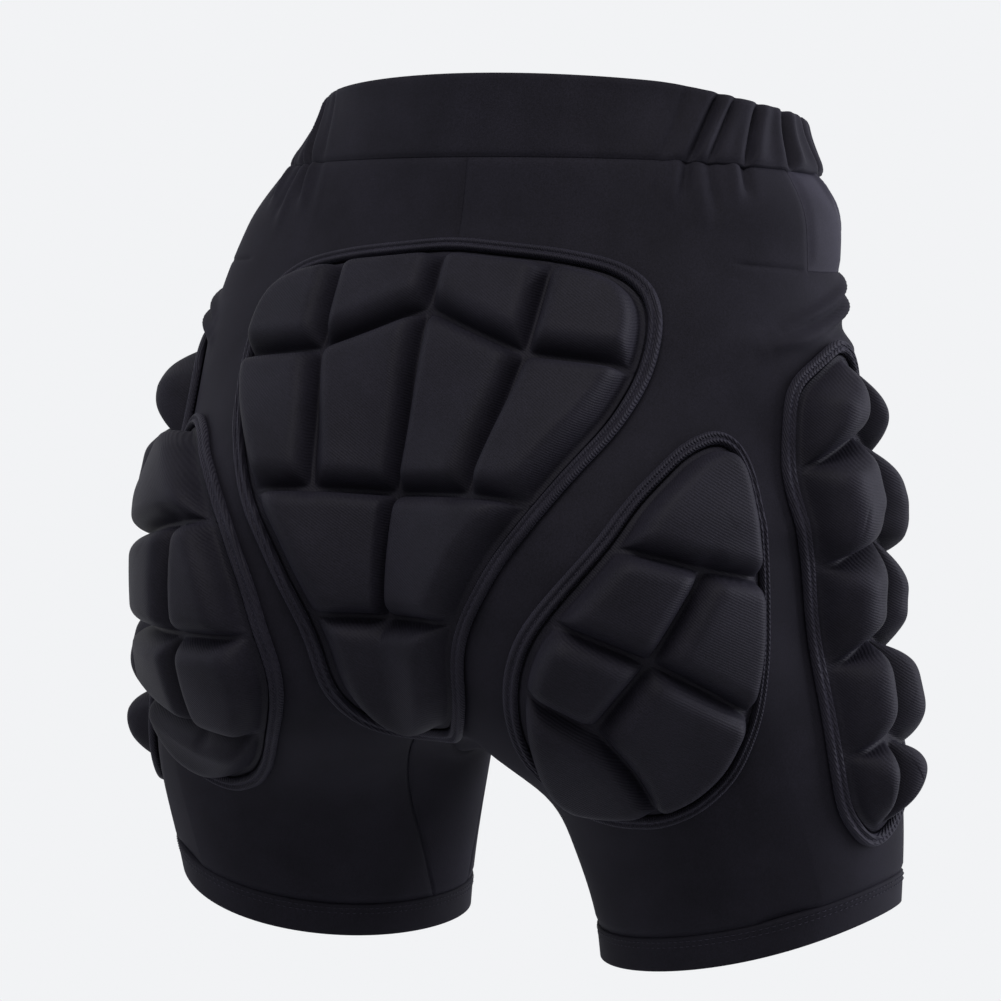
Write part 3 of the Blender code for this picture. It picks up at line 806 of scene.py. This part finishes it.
def thigh_left():
    """The left pad is divided by nearly level grooves instead of slanting ones."""
    words = ["abcdevstu", "efwv", "vwqrs", "fgxw", "wxmnoq", "ghijklmx"]
    places = {"a": (50, 258), "b": (43.5, 255.5), "c": (39.5, 246), "d": (38.5, 222),
              "e": (37, 200), "f": (36, 160), "g": (37, 128), "h": (41.5, 105),
              "i": (51, 90), "j": (64, 86), "k": (80, 92), "l": (91, 103),
              "m": (97, 115), "n": (101, 130), "o": (101.5, 145), "q": (98.8, 162),
              "r": (95.5, 185), "s": (88, 214), "t": (80, 231), "u": (64, 250),
              "v": (77.5, 211), "w": (78, 161), "x": (76.5, 119)}
    return words, places


def hip_layout():
    """Two columns of five chevron cells about a slightly leaning centre line."""
    centre = [(12, 304), (10, 264), (5, 219), (3, 169), (5, 122), (7, 74)]
    edge_levels = [283, 245, 201, 154, 113, 91]
    rear_half = [29, 34, 31, 27, 20, 14]
    front_half = [19, 25, 27, 24, 21, 15]
    arc = math.radians(HIP_RADIUS * 1000)
    inner = [(a * arc, z) for a, z in centre]
    cells = []
    for turn, half_angles in ((1, rear_half), (-1, front_half)):
        outer = [((centre[i][0] + turn * half_angles[i]) * arc, edge_levels[i])
                 for i in range(6)]
        for i in range(5):
            cells.append([inner[i], outer[i], outer[i + 1], inner[i + 1]])
    return cells


def to_metres(cells):
    """Cell corners in metres, with levels measured from the rear rim."""
    return [[(u / 1000.0, v / 1000.0 - HEIGHT) for u, v in cell] for cell in cells]


def turned_left(cell):
    """The cell with its corners anticlockwise."""
    area = sum(a[0] * b[1] - b[0] * a[1] for a, b in zip(cell, cell[1:] + cell[:1]))
    return cell if area > 0 else list(reversed(cell))


def cell_outline(cells):
    """Border polygon of a set of cells that share corners."""
    edges = [pair for cell in cells for pair in zip(cell, cell[1:] + cell[:1])]
    follows = {a: b for a, b in edges if (b, a) not in edges}
    loop = [min(follows)]
    while follows[loop[-1]] != loop[0]:
        loop.append(follows[loop[-1]])
    return loop


# ---- pad covers
PITCH = 0.0024                  # spacing of points along grooves and outlines
NEAR = [0.0, 0.0007, 0.0014, 0.0022, 0.0031, 0.0042, 0.0055, 0.0072, 0.0092]   # from the border
FAR = [0.12, 0.28, 0.46, 0.64, 0.82, 1.0]      # share of what is left up to the middle
UNDER_NEAR = [0.0]
UNDER_FAR = [0.3, 0.65, 1.0]
CHANNEL_HALF = 0.0013           # half the flat floor of a groove
FLANGE = 0.0034                 # flat strip inside the edge tape
KNIT_GAP = 0.0006               # underside of a pad above the knit
EDGE_RISE = 0.0022              # cover at its outline, above the knit


def steps_between(a, b):
    """Points along a straight line, about one pitch apart."""
    count = max(2, int(round(math.dist(a, b) / PITCH)))
    share = np.linspace(0, 1, count + 1)[:, None]
    return np.array(a) * (1 - share) + np.array(b) * share


def smooth_outline(loop, rounds=16):
    """Points of each outline edge after the corners are rounded off."""
    runs = [steps_between(a, b)[:-1] for a, b in zip(loop, loop[1:] + loop[:1])]
    points = np.concatenate(runs)
    for _ in range(rounds):
        middle = (np.roll(points, 1, axis=0) + np.roll(points, -1, axis=0)) / 2
        points = points + 0.5 * (middle - points)
    starts = np.cumsum([0] + [len(run) for run in runs])
    closed = np.concatenate([points, points[:1]])
    edges = {}
    for index, (a, b) in enumerate(zip(loop, loop[1:] + loop[:1])):
        edges[(a, b)] = closed[starts[index]:starts[index + 1] + 1]
    return points, edges


def cell_runs(cells, edges):
    """Each cell's sides as dense lines, outline sides first joined as one."""
    moved = {a: line[0] for (a, b), line in edges.items()}
    grooves = {}
    result = []
    for cell in cells:
        sides = []
        for a, b in zip(cell, cell[1:] + cell[:1]):
            if (a, b) in edges:
                sides.append((True, edges[(a, b)]))
                continue
            if (b, a) not in grooves:
                grooves[(a, b)] = steps_between(moved.get(a, a), moved.get(b, b))
                sides.append((False, grooves[(a, b)]))
            else:
                sides.append((False, grooves[(b, a)][::-1]))
        result.append(sides)
    return result


def distance_to_line(points, line):
    """Shortest distance from each point to a line of points."""
    a, b = line[:-1], line[1:]
    along_line = b - a
    t = ((points[:, None] - a) * along_line).sum(axis=2) / (along_line**2).sum(axis=1)
    near = a + np.clip(t, 0, 1)[..., None] * along_line
    return np.linalg.norm(points[:, None] - near, axis=2).min(axis=1)


def shoulder(distance, width):
    """Rises steeply from 0 and rounds over to 1 across the width."""
    t = np.clip(distance / width, 0.0, 1.0)
    return (1 - (1 - t)**2.4) ** 0.75


def dome_heights(points, sides, crown, groove, width):
    """Foam cell: flat channel floor, steep wall and rounded top along every side."""
    value = np.ones(len(points))
    outline = np.full(len(points), 1.0)
    for is_outline, line in sides:
        distance = distance_to_line(points, line)
        if is_outline:
            outline = np.minimum(outline, distance)
        else:
            value *= shoulder(distance - CHANNEL_HALF, width)
    value *= shoulder(outline - FLANGE, width)
    floor = EDGE_RISE + (groove - EDGE_RISE) * smooth(outline / 0.010)
    return floor + (crown - floor) * value


def ringed_cell(sides, near, far):
    """Points of one cell: its border pulled in ring by ring to the middle."""
    border = np.concatenate([line[:-1] for _, line in sides])
    inward = border.mean(axis=0) - border
    step = np.roll(border, -1, axis=0) - np.roll(border, 1, axis=0)
    step /= np.linalg.norm(step, axis=1)[:, None]
    reach = np.maximum(np.abs(step[:, 0] * inward[:, 1] - step[:, 1] * inward[:, 0]), 0.009)
    for _ in range(6):
        reach = (np.roll(reach, 1) + reach + np.roll(reach, -1)) / 3
    shares = [distance / reach for distance in near]
    shares += [shares[-1] + (1 - shares[-1]) * part for part in far[:-1]]
    flat = [border + inward * share[:, None] for share in shares]
    return np.concatenate(flat + [border.mean(axis=0)[None]]), len(border)


def ringed_faces(count, rings, names):
    """Faces between the rings, closed by triangles in the middle."""
    faces = []
    for ring in range(rings - 2):
        for i in range(count):
            k = (i + 1) % count
            faces.append([names[ring * count + i], names[ring * count + k],
                          names[(ring + 1) * count + k], names[(ring + 1) * count + i]])
    start = (rings - 2) * count
    for i in range(count):
        faces.append([names[start + i], names[start + (i + 1) % count], names[-1]])
    return faces


def pad_sheet(runs, near, far, rise):
    """Flat points, heights and faces; border points of neighbouring cells are shared."""
    shared, flat, height, faces = {}, [], [], []
    for sides in runs:
        points, count = ringed_cell(sides, near, far)
        heights = rise(points, sides)
        names = []
        for i, point in enumerate(points):
            key = (round(point[0] * 1e6), round(point[1] * 1e6)) if i < count else None
            if key in shared:
                names.append(shared[key])
                continue
            names.append(len(flat))
            flat.append(point)
            height.append(heights[i])
            if key:
                shared[key] = names[-1]
        faces += ringed_faces(count, len(near) + len(far), names)
    return np.array(flat), np.array(height), faces, shared


def build_cover(name, cells, chart, side, shape):
    """Quilted top and flat underside of one pad, joined along its outline."""
    loop = cell_outline(cells)
    outline, edges = smooth_outline(loop)
    runs = cell_runs(cells, edges)

    def domed(points, sides):
        return dome_heights(points, sides, *shape)

    def level(points, _):
        return np.full(len(points), KNIT_GAP)

    top = pad_sheet(runs, NEAR, FAR, domed)
    low = pad_sheet(runs, UNDER_NEAR, UNDER_FAR, level)
    points = [lifted(chart, sheet[0], sheet[1]) for sheet in (top, low)]
    shift = len(points[0])
    faces = top[2] + [[shift + i for i in reversed(face)] for face in low[2]]
    keys = [(round(p[0] * 1e6), round(p[1] * 1e6)) for p in outline]
    for a, b in zip(keys, keys[1:] + keys[:1]):
        faces.append([top[3][b], top[3][a], shift + low[3][a], shift + low[3][b]])
    piece = new_object(name, flip(np.concatenate(points), side), faces, MAT_COVER, 1)
    face_out(piece)
    return piece, outline


def face_out(piece):
    """Turns all faces of a closed piece outward."""
    mesh = bmesh.new()
    mesh.from_mesh(piece.data)
    bmesh.ops.recalc_face_normals(mesh, faces=mesh.faces[:])
    mesh.to_mesh(piece.data)
    mesh.free()


def lifted(chart, flat, height):
    """Flat pad points laid on the worn surface and raised by a height."""
    base = chart(np.asarray(flat))
    return base + normals(base) * np.asarray(height)[:, None]


# ---- bindings and stitches
def outward_2d(loop):
    """Outward direction at each point of an anticlockwise closed line."""
    step = np.roll(loop, -1, axis=0) - np.roll(loop, 1, axis=0)
    side = np.stack([step[:, 1], -step[:, 0]], axis=1)
    return side / np.linalg.norm(side, axis=1)[:, None]


# Section of the edge tape: distance outside the pad's outline and height above the knit.
BINDING = [(0.0006, 0.0006), (0.0007, 0.0030), (0.0013, 0.0046), (0.0022, 0.0050),
           (0.0030, 0.0043), (0.0036, 0.0034), (0.0042, 0.0043), (0.0050, 0.0048),
           (0.0060, 0.0043), (0.0068, 0.0028), (0.0071, 0.0006)]


def build_binding(name, outline, chart, side):
    """Tape with two rolled ridges, swept around the pad."""
    out = outward_2d(outline)
    rows = []
    for across, rise in BINDING:
        flat = outline + out * across
        rows.append(lifted(chart, flat, np.full(len(flat), rise)))
    count = len(outline)
    faces = grid_faces(len(rows), count, True)
    last = (len(rows) - 1) * count
    for i in range(count):
        k = (i + 1) % count
        faces.append([last + i, last + k, k, i])
    piece = new_object(name, flip(np.concatenate(rows), side), faces, MAT_BINDING, 1)
    face_out(piece)
    return piece


def walk(line, spacing, length):
    """Start and end points of stitches along a line of points."""
    lengths = np.concatenate([[0], np.cumsum(np.linalg.norm(np.diff(line, axis=0), axis=1))])
    starts = np.arange(0.3 * spacing, lengths[-1] - length, spacing)
    pick = [np.interp(place, lengths, line[:, k]) for k in range(3)
            for place in (starts, starts + length)]
    return np.stack(pick[0::2], axis=1), np.stack(pick[1::2], axis=1)


def stitch_mesh(first, second, up, radius):
    """Small thread loops: six-sided beads, thickest in the middle, tucked in at both ends."""
    along_run = second - first
    across = np.cross(along_run, up)
    across /= np.linalg.norm(across, axis=1)[:, None]
    points, faces = [], []
    for share, width, rise in ((0.0, 0.35, -0.9), (0.18, 0.85, 0.1), (0.5, 1.0, 0.55),
                               (0.82, 0.85, 0.1), (1.0, 0.35, -0.9)):
        middle = first + along_run * share + up * rise * radius
        for k in range(6):
            turn = math.pi / 3 * k
            points.append(middle + (across * math.cos(turn) + up * math.sin(turn)) * radius * width)
    points = np.stack(points, axis=1)
    for s in range(len(first)):
        base = s * 30
        for r in range(4):
            for k in range(6):
                m = (k + 1) % 6
                faces.append([base + r * 6 + k, base + r * 6 + m,
                              base + r * 6 + 6 + m, base + r * 6 + 6 + k])
        faces.append([base + k for k in range(6)])
        faces.append([base + 24 + k for k in reversed(range(6))])
    return points.reshape(-1, 3), faces


def build_stitches(name, lines, side, spacing=0.0034, length=0.0024, radius=0.00034, rise=0.0002):
    """Thread along lines of points of the worn surface, as one piece."""
    points, faces = [], []
    for line, lift in lines:
        first, second = walk(line, spacing, length)
        up = normals((first + second) / 2)
        more, new_faces = stitch_mesh(first + up * (lift + rise), second + up * (lift + rise),
                                      up, radius)
        shift = sum(len(p) for p in points)
        points.append(more)
        faces += [[shift + i for i in face] for face in new_faces]
    piece = new_object(name, flip(np.concatenate(points), side), faces, MAT_THREAD)
    face_out(piece)
    return piece


# Height of the cells and of the groove floors above the knit, and width of the cells' shoulders.
TAIL_SHAPE = (0.0182, 0.0060, 0.0085)
THIGH_SHAPE = (0.0178, 0.0058, 0.0090)
HIP_SHAPE = (0.0238, 0.0066, 0.0150)


def build_pad(name, word, cells, chart, side, shape, rider):
    """Cover, edge tape and stitching of one pad."""
    tail = "" if name == "tailbone_pad" else "_" + word
    cells = [turned_left(cell) for cell in to_metres(cells)]
    cover, outline = build_cover(name + "_cover_knit" + tail, cells, chart, side, shape)
    binding = build_binding(name + "_edge_tape" + tail, outline, chart, side)
    seam = outline + outward_2d(outline) * BINDING[5][0]
    seam = chart(np.concatenate([seam, seam[:1]]))
    thread = build_stitches(name + "_stitching" + tail, [(seam, BINDING[5][1])], side)
    for piece in (cover, binding, thread):
        rider(piece)
    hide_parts(*[name + part + tail for part in ("_cover", "_foam", "_backing")])
    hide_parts(name + "_binding" + tail)


def build_pads():
    build_pad("tailbone_pad", "", tail_layout(), tail_chart, 1, TAIL_SHAPE, ride_pelvis)
    for side, word in ((1, "left"), (-1, "right")):
        def follow(piece, word=word):
            cross_leg(piece)
        build_pad("thigh_pad", word, thigh_layout(side), thigh_chart, side, THIGH_SHAPE, follow)
        build_pad("hip_pad", word, hip_layout(), hip_chart, side, HIP_SHAPE, follow)


# ---- stage
FLOOR_DROP = 0.32               # floor below the lowest hem


def build_stage():
    material = bpy.data.materials.new("floor_look")
    material.use_nodes = True
    shader = material.node_tree.nodes["Principled BSDF"]
    shader.inputs["Base Color"].default_value = (0.50, 0.51, 0.52, 1.0)
    shader.inputs["Roughness"].default_value = 0.9
    low = CAD_BOX[0].z - FLOOR_DROP
    corners = [(-1, -1, low), (1, -1, low), (1, 1, low), (-1, 1, low)]
    new_object("floor", corners, [(0, 1, 2, 3)], material)


def build_world():
    world = bpy.data.worlds.new("studio")
    bpy.context.scene.world = world
    world.use_nodes = True
    back = world.node_tree.nodes["Background"]
    back.inputs["Color"].default_value = (0.887, 0.896, 0.913, 1.0)
    back.inputs["Strength"].default_value = 1.0


def soft_light(name, place, size, power, colour):
    """A square light that faces the aim."""
    data = bpy.data.lights.new(name, "AREA")
    data.shape = "RECTANGLE"
    data.size, data.size_y = size
    data.energy = power
    data.color = colour
    item = placed(name, data)
    item.location = place
    item.rotation_mode = "QUATERNION"
    item.rotation_quaternion = (AIM - place).to_track_quat("-Z", "Y")


AZIMUTH = math.radians(205.5)
ELEVATION = math.radians(2.0)
ROLL = math.radians(1.7)
DISTANCE = 1.535
AIM = Vector((0.0, 0.028, -0.205))
LENS = 110.9
SHIFT = -0.0184


def camera_axes():
    """The camera's right and up directions, and the one from the aim back to it."""
    back = Vector((math.sin(AZIMUTH) * math.cos(ELEVATION),
                   -math.cos(AZIMUTH) * math.cos(ELEVATION), math.sin(ELEVATION)))
    right = (-back).cross(Vector((0, 0, 1))).normalized()
    up = right.cross(-back)
    turned = right * math.cos(ROLL) + up * math.sin(ROLL)
    lifted = up * math.cos(ROLL) - right * math.sin(ROLL)
    return turned, lifted, back


def build_camera():
    right, up, back = camera_axes()
    data = bpy.data.cameras.new("camera")
    data.lens = LENS
    data.sensor_width = 36.0
    data.shift_x = SHIFT
    item = placed("camera", data)
    turn = Matrix((right, up, back)).transposed().to_4x4()
    item.matrix_world = Matrix.Translation(AIM + back * DISTANCE) @ turn
    bpy.context.scene.camera = item


# Each light: metres right of, above and in front of the aim, then its size, watts and colour.
LIGHTS = [("left_box", (-1.3, 0.5, -0.1), (0.7, 1.3), 9, (0.80, 0.82, 1.0)),
          ("right_box", (1.3, 0.3, -0.1), (0.7, 1.3), 34, (0.86, 0.86, 1.0)),
          ("top_box", (0.0, 1.2, 0.9), (0.9, 0.6), 23, (1.0, 0.98, 1.0))]


def build_lights():
    right, up, back = camera_axes()
    for name, (across, rise, near), size, power, colour in LIGHTS:
        soft_light(name, AIM + right * across + up * rise + back * near, size, power, colour)


bpy.context.scene.view_settings.view_transform = "Standard"
build_camera()
build_world()
build_stage()
build_lights()
build_waistband()
build_gusset()
for hand, hand_word in ((1, "left"), (-1, "right")):
    build_side_yoke(hand, hand_word)
    build_outer_panel(hand, hand_word)
    build_front_panel(hand, hand_word)
    build_inner_panel(hand, hand_word)
    build_hem(hand, hand_word)

build_pads()
